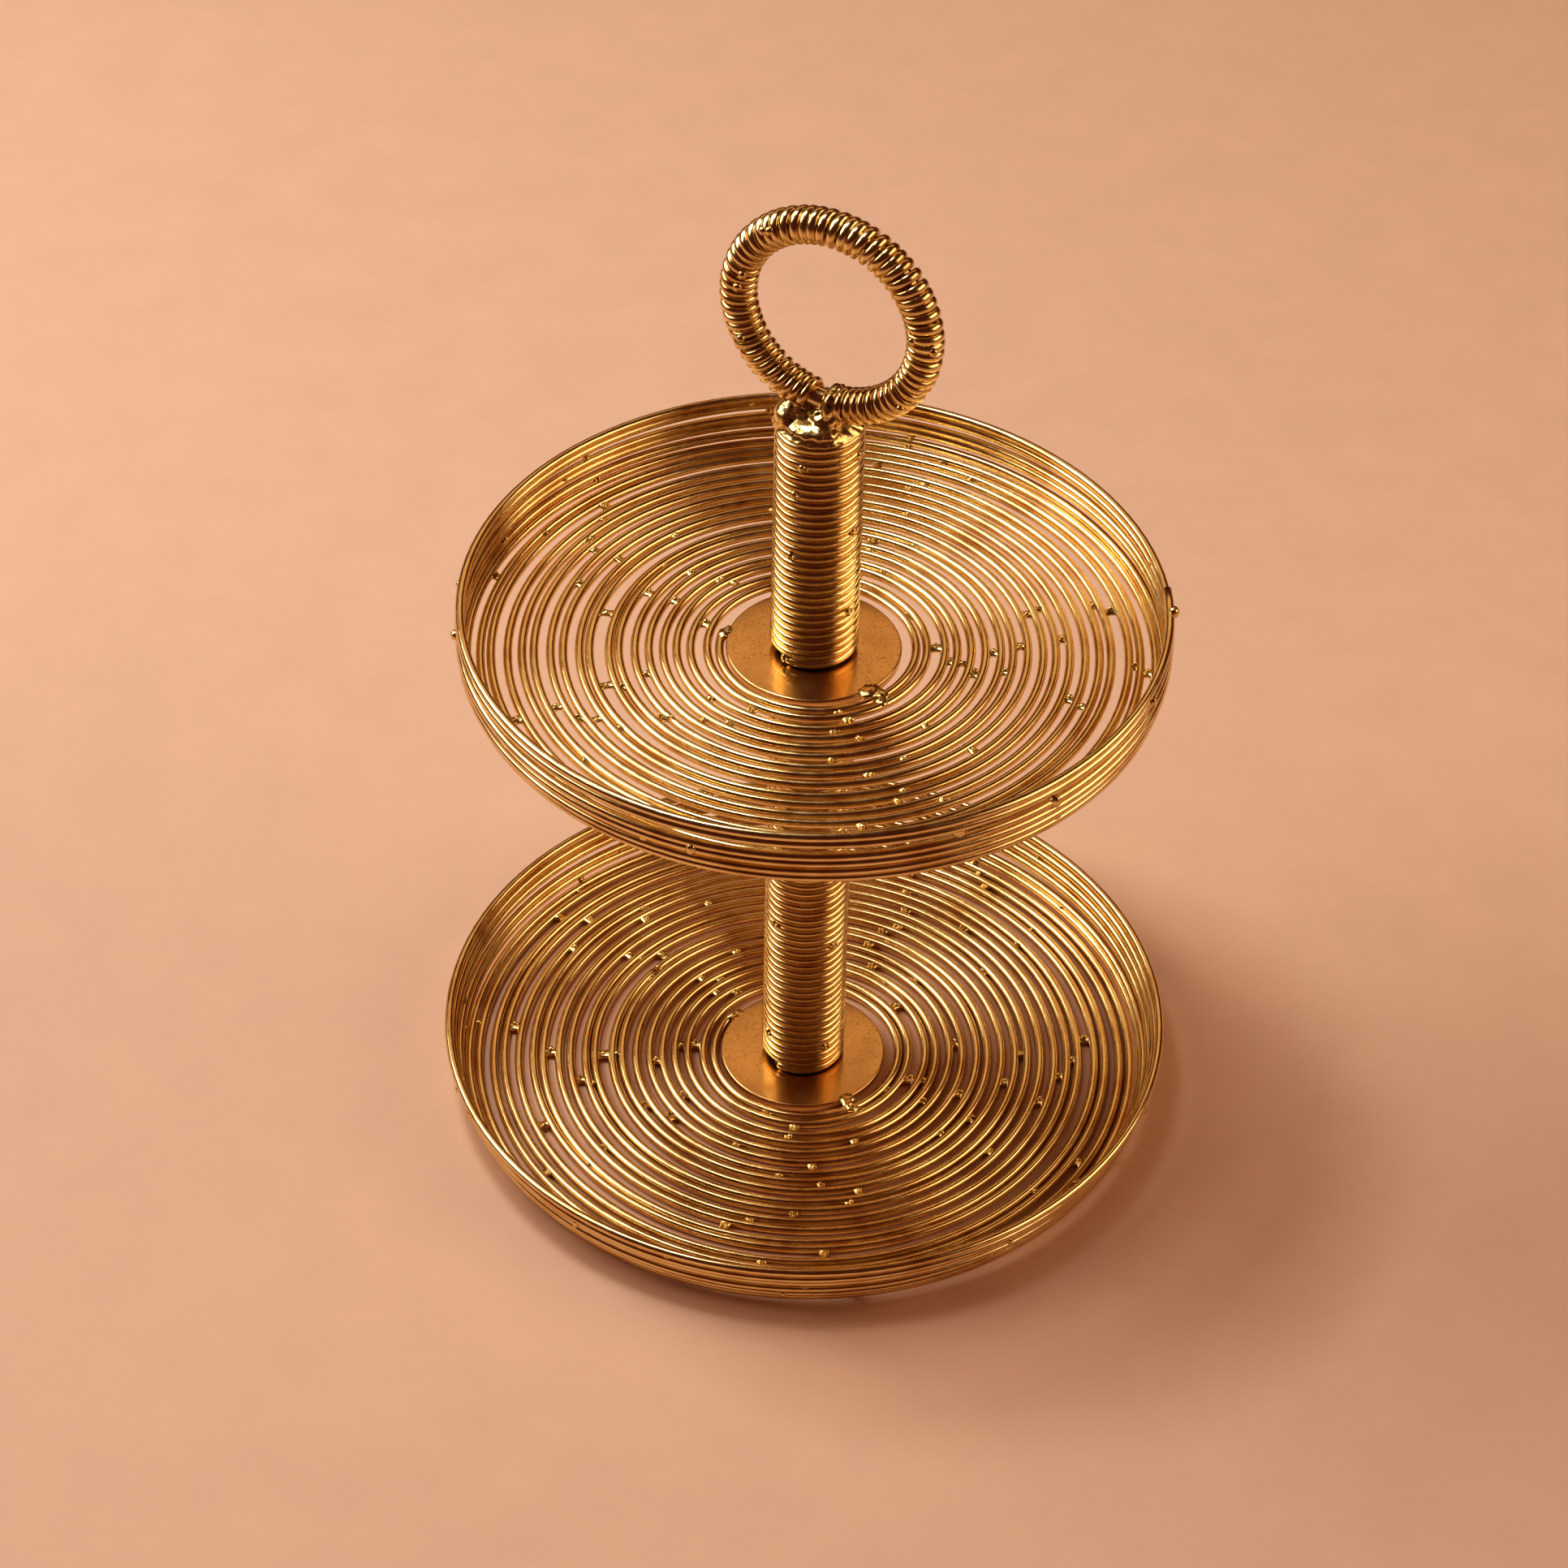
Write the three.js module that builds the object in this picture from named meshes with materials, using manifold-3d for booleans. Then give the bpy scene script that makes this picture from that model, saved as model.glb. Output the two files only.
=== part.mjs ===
// Two-tier cake stand of brass-plated wire: two spiral-wire dishes on wire-wrapped posts, drawn
// together by one threaded tie rod, with a wire-wrapped carrying ring on top.
// Units are millimetres, +Z is up, and the origin is the centre of the underside of the lower dish.
import * as THREE from 'three';
import Module from 'manifold-3d';

// ---- driving dimensions ----------------------------------------------------------------------
const WIRE = 3;                    // diameter of the dish and post wire
const CLEARANCE = 0.3;             // gap between pieces that touch on the real stand
const PLATE_RADIUS = 28.1;
const PLATE_THICKNESS = 3;
const PLATE_EDGE_BREAK = 0.5;      // small chamfer on the plate's two rims
const SPIRAL_START_RADIUS = 29.9;  // centre line of the first turn, just clear of the plate
const LOWER_BRAZE_ANGLE = -56;     // degrees from +X to the braze beside each hub plate
const UPPER_BRAZE_ANGLE = -50;
const UPPER_FLOOR_HEIGHT = 179;    // underside of the upper dish
const POST_RADIUS = 14.08;         // over the wrapped wire
const POST_TOP = 271;
const POST_WALL = 1.2;
const ROD_RADIUS = 3;
const ROD_TOP = 197;
const BUSH_HEIGHT = 8;
const INSERT_HEIGHT = 18;
const CAP_HEIGHT = 4;

const RING_HEIGHT = 310;           // centre of the carrying ring
const RING_RADIUS = 31.4;          // centre line of the ring
const RING_OFFSET = 2.8;           // the ring sits this far off the post's axis, along its own plane
const RING_TURN = -26;             // degrees from the XZ plane
const RING_CORE_RADIUS = 3.6;
const RING_WINDING_RADIUS = 6.25;
const RING_GAP = 16;               // degrees left bare at the bottom, where the ring is brazed on

const STEPS_PER_TURN = 20;         // straight facets in one turn of dish wire
const WIRE_SIDES = 6;
const ROUND_STEPS = 24;            // facets round a plate or a tube
const SMALL_ROUND_STEPS = 12;      // facets round the rod and the hub beads
const BAR_SIDES = 8;               // facets round the ring's bar
const BAR_STEPS = 36;              // facets along the ring's bar
const WINDING_SIDES = 10;
const WINDING_STEPS = 30;
const LUMP_STEPS = 20;             // facets round the handle's dome of braze
const COLLAR_STEPS = 14;
const ROOM_STEPS = 40;             // facets along the room cut out of the lump for the ring

// Each dish: one wire leaves the hub plate, winds outward as the floor and climbs as the wall.
// Turn counts are whole numbers of facets, and the wall's outline is a Bezier curve of
// [radius, height] points for the wire's centre line.
const LOWER_DISH = {
  base: 0,
  startAngle: 144,
  spliceTurn: 8,
  floorTurns: 18.3,
  wallTurns: 6.55,
  wall: [[112, 1.5], [116.3, 1.5], [117.5, 7], [121.9, 21.8]],
};
const UPPER_DISH = {
  base: UPPER_FLOOR_HEIGHT,
  startAngle: 167,
  spliceTurn: 6.15,
  floorTurns: 17.35,
  wallTurns: 6.2,
  wall: [[108, 1.5], [112.3, 1.5], [113, 8], [112.1, 21.3]],
};

// ---- finishes --------------------------------------------------------------------------------
const lacqueredBrass = (color = 0xc08a3c) =>
  new THREE.MeshStandardMaterial({ color, roughness: 0.24, metalness: 1 });
const brightBraze = () =>
  new THREE.MeshStandardMaterial({ color: 0xd8b878, roughness: 0.18, metalness: 1 });
const plainSteel = () =>
  new THREE.MeshStandardMaterial({ color: 0x9a9c9e, roughness: 0.42, metalness: 1 });

// ---- shared shape builders -------------------------------------------------------------------
const radians = THREE.MathUtils.degToRad;

function named(name, geometry, material) {
  const mesh = new THREE.Mesh(geometry, material);
  mesh.name = name;
  return mesh;
}

// A solid turned about Z from a closed outline of [radius, height] points.
function turned(outline, steps = ROUND_STEPS) {
  const closed = [...outline, outline[0]].map(([radius, height]) => new THREE.Vector2(radius, height));
  return new THREE.LatheGeometry(closed, steps).rotateX(Math.PI / 2);
}

function tube(innerRadius, outerRadius, bottom, top) {
  return turned([[innerRadius, bottom], [outerRadius, bottom], [outerRadius, top], [innerRadius, top]]);
}

function disc(radius, bottom, top, steps = ROUND_STEPS) {
  return new THREE.CylinderGeometry(radius, radius, top - bottom, steps)
    .rotateX(Math.PI / 2)
    .translate(0, 0, (bottom + top) / 2);
}

function regularPolygon(radius, sides) {
  const corners = Array.from({ length: sides }, (_, side) => {
    const angle = (2 * Math.PI * side) / sides;
    return new THREE.Vector2(radius * Math.cos(angle), radius * Math.sin(angle));
  });
  return new THREE.Shape(corners);
}

// ---- the dish wire ---------------------------------------------------------------------------
// Hand winding leaves the floor turns unevenly spaced: two slow waves along the wire, in turns.
const SPACING_WAVES = [
  { size: 0.35, perTurn: 0.37, phase: 0.6 },
  { size: 0.2, perTurn: 1.43, phase: 2.1 },
];

function windingWander(turn, floorTurns) {
  const fade = Math.min(turn, floorTurns - turn, 1);
  const wave = ({ size, perTurn, phase }) => size * Math.sin(2 * Math.PI * perTurn * turn + phase);
  return fade * SPACING_WAVES.reduce((sum, each) => sum + wave(each), 0);
}

// The centre line of a dish's wire between two turn counts, sampled evenly in angle so that the
// facets of neighbouring turns stay side by side.
class DishWirePath extends THREE.Curve {
  constructor(dish, fromTurn, toTurn) {
    super();
    Object.assign(this, { dish, fromTurn, toTurn });
    const corners = dish.wall.map(([radius, height]) => new THREE.Vector2(radius, height));
    this.wall = new THREE.CubicBezierCurve(...corners);
  }

  getUtoTmapping(u) {
    return u;
  }

  radiusAndHeight(turn) {
    const { floorTurns, wallTurns, wall } = this.dish;
    const [floorEdge, floorHeight] = wall[0];
    if (turn < floorTurns) {
      const even = SPIRAL_START_RADIUS + (floorEdge - SPIRAL_START_RADIUS) * (turn / floorTurns);
      return [even + windingWander(turn, floorTurns), floorHeight];
    }
    const onWall = this.wall.getPointAt(Math.min((turn - floorTurns) / wallTurns, 1));
    return [onWall.x, onWall.y];
  }

  getPoint(t, target = new THREE.Vector3()) {
    const turn = this.fromTurn + t * (this.toTurn - this.fromTurn);
    const angle = radians(this.dish.startAngle) + 2 * Math.PI * turn;
    const [radius, height] = this.radiusAndHeight(turn);
    return target.set(radius * Math.cos(angle), radius * Math.sin(angle), this.dish.base + height);
  }
}

// A length of dish wire, cut back a little at its far end so that it doesn't meet the next length.
function dishWire(dish, fromTurn, toTurn) {
  const cutBack = CLEARANCE / (2 * Math.PI * SPIRAL_START_RADIUS);
  return new THREE.ExtrudeGeometry(regularPolygon(WIRE / 2, WIRE_SIDES), {
    steps: Math.round((toTurn - fromTurn) * STEPS_PER_TURN),
    extrudePath: new DishWirePath(dish, fromTurn, toTurn - cutBack),
    bevelEnabled: false,
  });
}

function hubPlate(dish) {
  const bottom = dish.base;
  const top = bottom + PLATE_THICKNESS;
  const bore = ROD_RADIUS + CLEARANCE;
  return turned([
    [bore, bottom],
    [PLATE_RADIUS - PLATE_EDGE_BREAK, bottom],
    [PLATE_RADIUS, bottom + PLATE_EDGE_BREAK],
    [PLATE_RADIUS, top - PLATE_EDGE_BREAK],
    [PLATE_RADIUS - PLATE_EDGE_BREAK, top],
    [bore, top],
  ]);
}

// The bead that ties the first turns of wire to the hub plate, a low dome resting on both.
function hubBraze(dish, angle) {
  const beadRadius = 3.4;
  const beadHeight = 1.3;
  const outline = [[0, 0], [beadRadius, 0], [beadRadius * 0.8, beadHeight * 0.6], [0, beadHeight]];
  const height = dish.base + PLATE_THICKNESS + CLEARANCE;
  return turned(outline, SMALL_ROUND_STEPS)
    .translate(PLATE_RADIUS + WIRE / 2, 0, height)
    .rotateZ(radians(angle));
}

function makeDish(level, dish, brazeAngle) {
  const { floorTurns } = dish;
  const lastTurn = floorTurns + dish.wallTurns;
  const group = new THREE.Group();
  group.add(
    named(`${level}_hub_plate`, hubPlate(dish), lacqueredBrass(0xb9803a)),
    named(`${level}_floor_spiral_inner`, dishWire(dish, 0, dish.spliceTurn), lacqueredBrass()),
    named(`${level}_floor_spiral_outer`, dishWire(dish, dish.spliceTurn, floorTurns), lacqueredBrass()),
    named(`${level}_rim_coil`, dishWire(dish, floorTurns, lastTurn), lacqueredBrass()),
    named(`${level}_hub_braze`, hubBraze(dish, brazeAngle), brightBraze()),
  );
  return group;
}

// ---- posts and tie rod -----------------------------------------------------------------------
const TUBE_RADIUS = POST_RADIUS - WIRE - CLEARANCE;
const BORE_RADIUS = TUBE_RADIUS - POST_WALL;
const FITTING_RADIUS = BORE_RADIUS - CLEARANCE;
const ROD_BORE = ROD_RADIUS + CLEARANCE;

const LOWER_POST = { bottom: PLATE_THICKNESS + CLEARANCE, top: UPPER_FLOOR_HEIGHT - CLEARANCE };
const UPPER_POST = { bottom: UPPER_FLOOR_HEIGHT + PLATE_THICKNESS + CLEARANCE, top: POST_TOP };

function postTube({ bottom, top }) {
  return tube(BORE_RADIUS, TUBE_RADIUS, bottom, top);
}

// The close-wound wrap of wire round a post, as the sleeve that it fills.
function postWrap({ bottom, top }) {
  return tube(TUBE_RADIUS + CLEARANCE, POST_RADIUS, bottom, top);
}

// A bush or insert in a tube's end, bored to clear the tie rod.
function bush(bottom, top) {
  return tube(ROD_BORE, FITTING_RADIUS, bottom, top);
}

function makeLowerPost() {
  const { bottom, top } = LOWER_POST;
  const group = new THREE.Group();
  group.add(
    named('lower_post_tube', postTube(LOWER_POST), plainSteel()),
    named('lower_post_coil', postWrap(LOWER_POST), lacqueredBrass()),
    named('lower_post_bottom_bush', bush(bottom, bottom + BUSH_HEIGHT), plainSteel()),
    named('lower_post_top_bush', bush(top - BUSH_HEIGHT, top), plainSteel()),
  );
  return group;
}

function makeUpperPost() {
  const { bottom, top } = UPPER_POST;
  const group = new THREE.Group();
  group.add(
    named('upper_post_tube', postTube(UPPER_POST), plainSteel()),
    named('upper_post_coil', postWrap(UPPER_POST), lacqueredBrass()),
    named('upper_post_insert', bush(bottom, bottom + INSERT_HEIGHT), plainSteel()),
    named('upper_post_top_cap', disc(FITTING_RADIUS, top - CAP_HEIGHT, top), plainSteel()),
  );
  return group;
}

function makeTieRod() {
  return named('tie_rod', disc(ROD_RADIUS, CLEARANCE, ROD_TOP, SMALL_ROUND_STEPS), plainSteel());
}

// ---- carrying ring ---------------------------------------------------------------------------
// Moves a shape built about the origin in the XZ plane to the ring's place above the post.
function atRing(geometry) {
  const angle = radians(RING_TURN);
  return geometry
    .rotateZ(angle)
    .translate(RING_OFFSET * Math.cos(angle), RING_OFFSET * Math.sin(angle), RING_HEIGHT);
}

function ringBar(radius, sides, steps) {
  return new THREE.TorusGeometry(RING_RADIUS, radius, sides, steps).rotateX(Math.PI / 2);
}

class RingArc extends THREE.Curve {
  getPoint(t, target = new THREE.Vector3()) {
    const sweep = 360 - RING_GAP;
    const angle = radians(-90 + RING_GAP / 2 + t * sweep);
    return target.set(RING_RADIUS * Math.cos(angle), 0, RING_RADIUS * Math.sin(angle));
  }
}

// The wire wound round the ring, as the hollow sleeve that its turns fill.
function ringWinding() {
  const boreRadius = (RING_CORE_RADIUS + CLEARANCE) / Math.cos(Math.PI / WINDING_SIDES);
  const section = regularPolygon(RING_WINDING_RADIUS, WINDING_SIDES);
  section.holes.push(regularPolygon(boreRadius, WINDING_SIDES));
  return new THREE.ExtrudeGeometry(section, {
    steps: WINDING_STEPS,
    extrudePath: new RingArc(),
    bevelEnabled: false,
  });
}

const kernel = await Module();
kernel.setup();

// A solid that can be cut and joined, made from a mesh by sharing the corners that coincide.
function toManifold(geometry) {
  const position = geometry.getAttribute('position');
  const keys = new Map();
  const vertices = [];
  const corner = (index) => {
    const point = [position.getX(index), position.getY(index), position.getZ(index)];
    const key = point.map((value) => value.toFixed(4)).join();
    if (!keys.has(key)) {
      keys.set(key, keys.size);
      vertices.push(...point);
    }
    return keys.get(key);
  };
  const everyCorner = () => Array.from({ length: position.count }, (_, index) => index);
  const order = geometry.index ? Array.from(geometry.index.array) : everyCorner();
  const triangles = [];
  for (let first = 0; first < order.length; first += 3) {
    const triangle = order.slice(first, first + 3).map(corner);
    if (new Set(triangle).size === 3) {
      triangles.push(...triangle);
    }
  }
  const mesh = new kernel.Mesh({
    numProp: 3,
    vertProperties: new Float32Array(vertices),
    triVerts: new Uint32Array(triangles),
  });
  return new kernel.Manifold(mesh);
}

// The mesh of a solid, with a flat normal on every face.
function toGeometry(solid) {
  const mesh = solid.getMesh();
  const geometry = new THREE.BufferGeometry();
  geometry.setAttribute('position', new THREE.BufferAttribute(new Float32Array(mesh.vertProperties), 3));
  geometry.setIndex(new THREE.BufferAttribute(new Uint32Array(mesh.triVerts), 1));
  const flat = geometry.toNonIndexed();
  flat.computeVertexNormals();
  return flat;
}

// The lump of braze between post and ring: a low dome on the post, with a collar round the ring's
// bare bottom, less room for the ring bar and for the winding on both sides.
function handleBraze() {
  const domeRadius = 12.6;
  const domeHeight = 7;
  const domeOffset = -0.6;
  const domeBottom = POST_TOP + CLEARANCE;
  const dome = turned([
    [0, 0],
    [domeRadius, 0],
    [domeRadius * 0.92, domeHeight * 0.38],
    [domeRadius * 0.7, domeHeight * 0.72],
    [domeRadius * 0.36, domeHeight * 0.93],
    [0, domeHeight],
  ], LUMP_STEPS).translate(domeOffset, 0, domeBottom);

  const collarRadius = RING_WINDING_RADIUS + 1;
  const gapAtCollarTop = 2 * (RING_RADIUS - collarRadius) * Math.tan(radians(RING_GAP / 2));
  const collar = atRing(
    new THREE.CylinderGeometry(collarRadius, collarRadius, gapAtCollarTop - 2 * CLEARANCE, COLLAR_STEPS)
      .rotateZ(Math.PI / 2)
      .translate(0, 0, -RING_RADIUS),
  );
  const windingRoom = atRing(ringBar(RING_WINDING_RADIUS + 2 * CLEARANCE, WINDING_SIDES, ROOM_STEPS));
  const barRoom = atRing(ringBar(RING_CORE_RADIUS + 2 * CLEARANCE, BAR_SIDES, ROOM_STEPS));
  const lump = toManifold(dome).subtract(toManifold(windingRoom)).add(toManifold(collar));
  return toGeometry(lump.subtract(toManifold(barRoom)));
}

function makeHandle() {
  const group = new THREE.Group();
  group.add(
    named('handle_ring_core', atRing(ringBar(RING_CORE_RADIUS, BAR_SIDES, BAR_STEPS)), plainSteel()),
    named('handle_ring_winding', atRing(ringWinding()), lacqueredBrass()),
    named('handle_braze', handleBraze(), brightBraze()),
  );
  return group;
}

// ---- the whole stand -------------------------------------------------------------------------
const stand = new THREE.Group();
stand.name = 'tiered_cake_stand';
stand.add(
  makeDish('lower', LOWER_DISH, LOWER_BRAZE_ANGLE),
  makeTieRod(),
  makeLowerPost(),
  makeDish('upper', UPPER_DISH, UPPER_BRAZE_ANGLE),
  makeUpperPost(),
  makeHandle(),
);

export default stand;
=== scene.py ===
"""Two-tier wire cake stand: its wires, braze, plates and studio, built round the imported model.

Lengths are metres unless a name ends in _mm. The stand's axis is Z, and the table is at z = 0.
"""

import math

import bpy
import numpy as np
from bpy.props import FloatProperty, FloatVectorProperty, IntProperty, PointerProperty
from mathutils import Matrix, Vector


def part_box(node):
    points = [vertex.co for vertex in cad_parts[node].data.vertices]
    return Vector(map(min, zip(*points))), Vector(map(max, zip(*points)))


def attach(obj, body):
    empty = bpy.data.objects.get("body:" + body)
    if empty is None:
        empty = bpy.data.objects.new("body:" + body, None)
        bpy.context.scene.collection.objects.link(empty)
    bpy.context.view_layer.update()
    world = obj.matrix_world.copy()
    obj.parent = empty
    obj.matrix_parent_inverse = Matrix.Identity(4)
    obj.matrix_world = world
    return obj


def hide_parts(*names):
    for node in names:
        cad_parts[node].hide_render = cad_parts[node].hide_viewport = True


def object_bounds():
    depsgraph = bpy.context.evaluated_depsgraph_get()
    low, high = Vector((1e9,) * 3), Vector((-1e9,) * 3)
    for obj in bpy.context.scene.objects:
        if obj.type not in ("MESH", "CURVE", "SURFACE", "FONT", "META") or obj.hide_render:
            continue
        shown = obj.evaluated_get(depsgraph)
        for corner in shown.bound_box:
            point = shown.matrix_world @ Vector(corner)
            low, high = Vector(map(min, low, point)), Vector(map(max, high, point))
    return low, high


bl_info = {
    "name": "Tiered Cake Stand",
    "version": (1, 0, 0),
    "blender": (4, 5, 0),
    "location": "View3D > Sidebar > Cake Stand",
    "description": "Builds a wire cake stand's wires, braze, plates and studio round its packed model",
    "category": "Add Mesh",
}

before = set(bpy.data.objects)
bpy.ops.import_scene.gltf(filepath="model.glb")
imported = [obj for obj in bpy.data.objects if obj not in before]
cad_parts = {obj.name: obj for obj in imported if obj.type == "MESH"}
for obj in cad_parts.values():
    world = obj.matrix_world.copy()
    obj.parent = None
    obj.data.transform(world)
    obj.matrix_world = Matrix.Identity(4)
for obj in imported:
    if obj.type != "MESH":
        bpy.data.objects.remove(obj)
CAD_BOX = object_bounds()
MM = 0.001
TURN = 2 * math.pi
UP = np.array([0, 0, 1.0])


def low(node):
    """Lowest corner of a CAD node, as an array."""
    return np.array(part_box(node)[0])


def high(node):
    """Highest corner of a CAD node, as an array."""
    return np.array(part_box(node)[1])


def linear(hex_colour):
    """Turns an sRGB hex colour into linear red, green and blue."""
    channels = [int(hex_colour[place : place + 2], 16) / 255 for place in (1, 3, 5)]
    return [c / 12.92 if c <= 0.04045 else ((c + 0.055) / 1.055) ** 2.4 for c in channels]


# ---- sizes and colours that a user would change ------------------------------------------------


class StandSizes(bpy.types.PropertyGroup):
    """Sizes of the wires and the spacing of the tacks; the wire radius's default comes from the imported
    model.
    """

    wire_radius: FloatProperty(
        name="Wire radius",
        description="Radius of the dish and post wire",
        default=float(high("lower_floor_spiral_outer")[2] - low("lower_floor_spiral_outer")[2]) / 2,
        unit="LENGTH",
    )
    ring_wire_radius: FloatProperty(
        name="Ring wire radius",
        description="Radius of the thinner wire wound round the carrying ring",
        default=1.32 * MM,
        unit="LENGTH",
    )
    wire_sides: IntProperty(
        name="Wire sides",
        description="Faces round a dish or post wire",
        default=12,
        min=6,
    )
    tack_spacing: FloatProperty(
        name="Tack spacing",
        description="Turns of dish wire between one tack of braze and the next",
        default=0.2,
        min=0.05,
    )


def colour_property(name, description, hex_colour):
    """A colour property whose default is an sRGB hex colour."""
    return FloatVectorProperty(
        name=name,
        description=description,
        default=linear(hex_colour),
        subtype="COLOR",
        min=0,
        max=1,
    )


class StandColours(bpy.types.PropertyGroup):
    """Colours of the finishes and of the studio floor."""

    gold: colour_property("Gold", "Lacquered brass plating where it is clean", "#F3DAA2")
    tarnish: colour_property("Tarnish", "Plating that has gone browner in patches", "#DCB67A")
    plate: colour_property("Plate", "Polished hub plates", "#E0BC84")
    braze: colour_property("Braze", "Bright skin of melted braze", "#EFD596")
    scale: colour_property("Scale", "Burnt pits in the braze", "#5E3A18")
    steel: colour_property("Steel", "Turned steel of the hidden fittings", "#A9ABAD")
    paper: colour_property("Paper", "Studio floor", "#F2CDB1")


class StudioSettings(bpy.types.PropertyGroup):
    """Strength of the studio lights."""

    key: FloatProperty(
        name="Key", description="Small soft light high at the left", default=8, unit="POWER"
    )
    window: FloatProperty(
        name="Window", description="Wide soft light at the left", default=13.1, unit="POWER"
    )
    side: FloatProperty(name="Side", description="Warm bounce from the right", default=8, unit="POWER")
    back: FloatProperty(name="Back", description="Warm bounce from behind", default=2.0, unit="POWER")
    room: FloatProperty(name="Room", description="Brightness of the room all round", default=0.07, min=0)


# ---- mesh builders -----------------------------------------------------------------------------


def unit(vectors):
    """Each row scaled to length one."""
    return vectors / np.linalg.norm(vectors, axis=-1, keepdims=True)


def level_ways(angle):
    """Unit vectors in the level plane at angles from +X: the cosine, the sine and zero."""
    return np.stack([np.cos(angle), np.sin(angle), np.zeros_like(angle)], 1)


def ball_ways(tilt, angle):
    """Unit vectors over a ball, a ring of them for each tilt: the cosine of the tilt times the
    cosine and the sine of the angle, and the sine of the tilt."""
    across = np.cos(tilt)[:, None]
    heights = np.repeat(np.sin(tilt)[:, None], len(angle), 1)
    return np.stack([across * np.cos(angle), across * np.sin(angle), heights], axis=-1)


def ripples(points, size, seed, count=14):
    """A smooth bumpy field from -1 to 1: the mean of plane waves in seeded directions, each about
    one size long, scaled up because their sum is seldom near its limit."""
    dice = np.random.default_rng(seed)
    boost = 2.2
    directions = unit(dice.normal(size=(count, 3))) * (TURN / size) * dice.uniform(0.6, 1.6, (count, 1))
    phases = dice.uniform(0, TURN, count)
    return np.clip(np.sin(points @ directions.T + phases).mean(axis=-1) * boost, -1, 1)


def tube_rings(path, outward, radius, sides, spread_by=1):
    """Rings of points round a path: at each place, the centre plus radius times the cosine and sine
    of the angle round, along the outward direction and the one square to it and to the path. The
    second direction may be spread by a factor, where a wire is squeezed wider than it is high."""
    along = unit(np.gradient(path, axis=0))
    first = unit(outward - (outward * along).sum(axis=1, keepdims=True) * along)
    second = np.cross(along, first)
    angle = np.arange(sides) * TURN / sides
    second = second * np.broadcast_to(spread_by, len(path))[:, None]
    wheel = np.cos(angle)[None, :, None] * first[:, None] + np.sin(angle)[None, :, None] * second[:, None]
    return path[:, None] + np.broadcast_to(radius, len(path))[:, None, None] * wheel


def with_round_ends(path, outward, radius, steps=4):
    """The path carried on past both ends, with radii that close it as part of a sphere: at angle b
    past the end, the distance is r sin b, squashed to a third, and the radius is r cos b."""
    nearly_closed = 0.49 * math.pi
    bend = np.linspace(0, nearly_closed, steps + 1)[1:]
    reach = (radius / 3 * np.sin(bend))[:, None]
    start_way = unit(path[0] - path[1])
    end_way = unit(path[-1] - path[-2])
    longer = np.concatenate([(path[0] + reach * start_way)[::-1], path, path[-1] + reach * end_way])
    sides = np.concatenate([np.repeat(outward[:1], steps, 0), outward, np.repeat(outward[-1:], steps, 0)])
    taper = radius * np.cos(bend)
    return longer, sides, np.concatenate([taper[::-1], np.full(len(path), radius), taper])


def closed_skin(rings):
    """Vertices and faces of closed shapes from rings[shape, ring, point, xyz]: quads between
    neighbouring rings, and the first and last ring drawn together to a pole each."""
    shapes, count, sides, _ = rings.shape
    first_poles = rings[:, 0].mean(1)[:, None]
    last_poles = rings[:, -1].mean(1)[:, None]
    points = np.concatenate([first_poles, rings.reshape(shapes, -1, 3), last_poles], 1)
    ring, side = np.meshgrid(np.arange(count - 1), np.arange(sides), indexing="ij")
    here = (1 + ring * sides + side).ravel()
    beside = (1 + ring * sides + (side + 1) % sides).ravel()
    quads = np.stack([here, beside, beside + sides, here + sides], 1)
    around = np.arange(sides)
    beyond = (around + 1) % sides
    last = 1 + (count - 1) * sides
    bottom = np.stack([np.zeros(sides, int), 1 + beyond, 1 + around], 1)
    top = np.stack([np.full(sides, count * sides + 1), last + around, last + beyond], 1)
    starts = np.arange(shapes)[:, None, None] * points.shape[1]
    every_quad = (quads[None] + starts).reshape(-1, 4)
    every_fan = (np.concatenate([bottom, top])[None] + starts).reshape(-1, 3)
    return points.reshape(-1, 3), every_quad.tolist() + every_fan.tolist()


def looped_skin(rings):
    """Vertices and faces of a ring-shaped solid: quads between neighbouring rings, with the last
    ring joined to the first."""
    count, sides, _ = rings.shape
    ring, side = np.meshgrid(np.arange(count), np.arange(sides), indexing="ij")
    after = (ring + 1) % count
    beside = (side + 1) % sides
    corners = [ring * sides + side, ring * sides + beside, after * sides + beside, after * sides + side]
    return rings.reshape(-1, 3), np.stack([c.ravel() for c in corners], 1).tolist()


def piece(name, skin, material, body, replaced=()):
    """Makes a mesh object from vertices and faces, with its material, body, slot and CAD nodes."""
    points, faces = skin
    mesh = bpy.data.meshes.new(name)
    mesh.from_pydata(points, [], faces)
    mesh.validate()
    mesh.update()
    mesh.shade_smooth()
    mesh.materials.append(material)
    made = bpy.data.objects.new(name, mesh)
    bpy.context.collection.objects.link(made)
    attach(made, body)
    if replaced:
        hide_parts(*replaced)
    return made


def turned_skin(outline, steps=160):
    """A solid turned about Z from an outline of (radius, height) that runs from axis to axis: each
    outline point becomes a ring of that radius."""
    angle = np.arange(steps) * TURN / steps
    profile = np.array(outline)
    radius = profile[:, 0, None]
    heights = np.repeat(profile[:, 1, None], steps, 1)
    rings = np.stack([radius * np.cos(angle), radius * np.sin(angle), heights], axis=-1)
    return closed_skin(rings[None])


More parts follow.
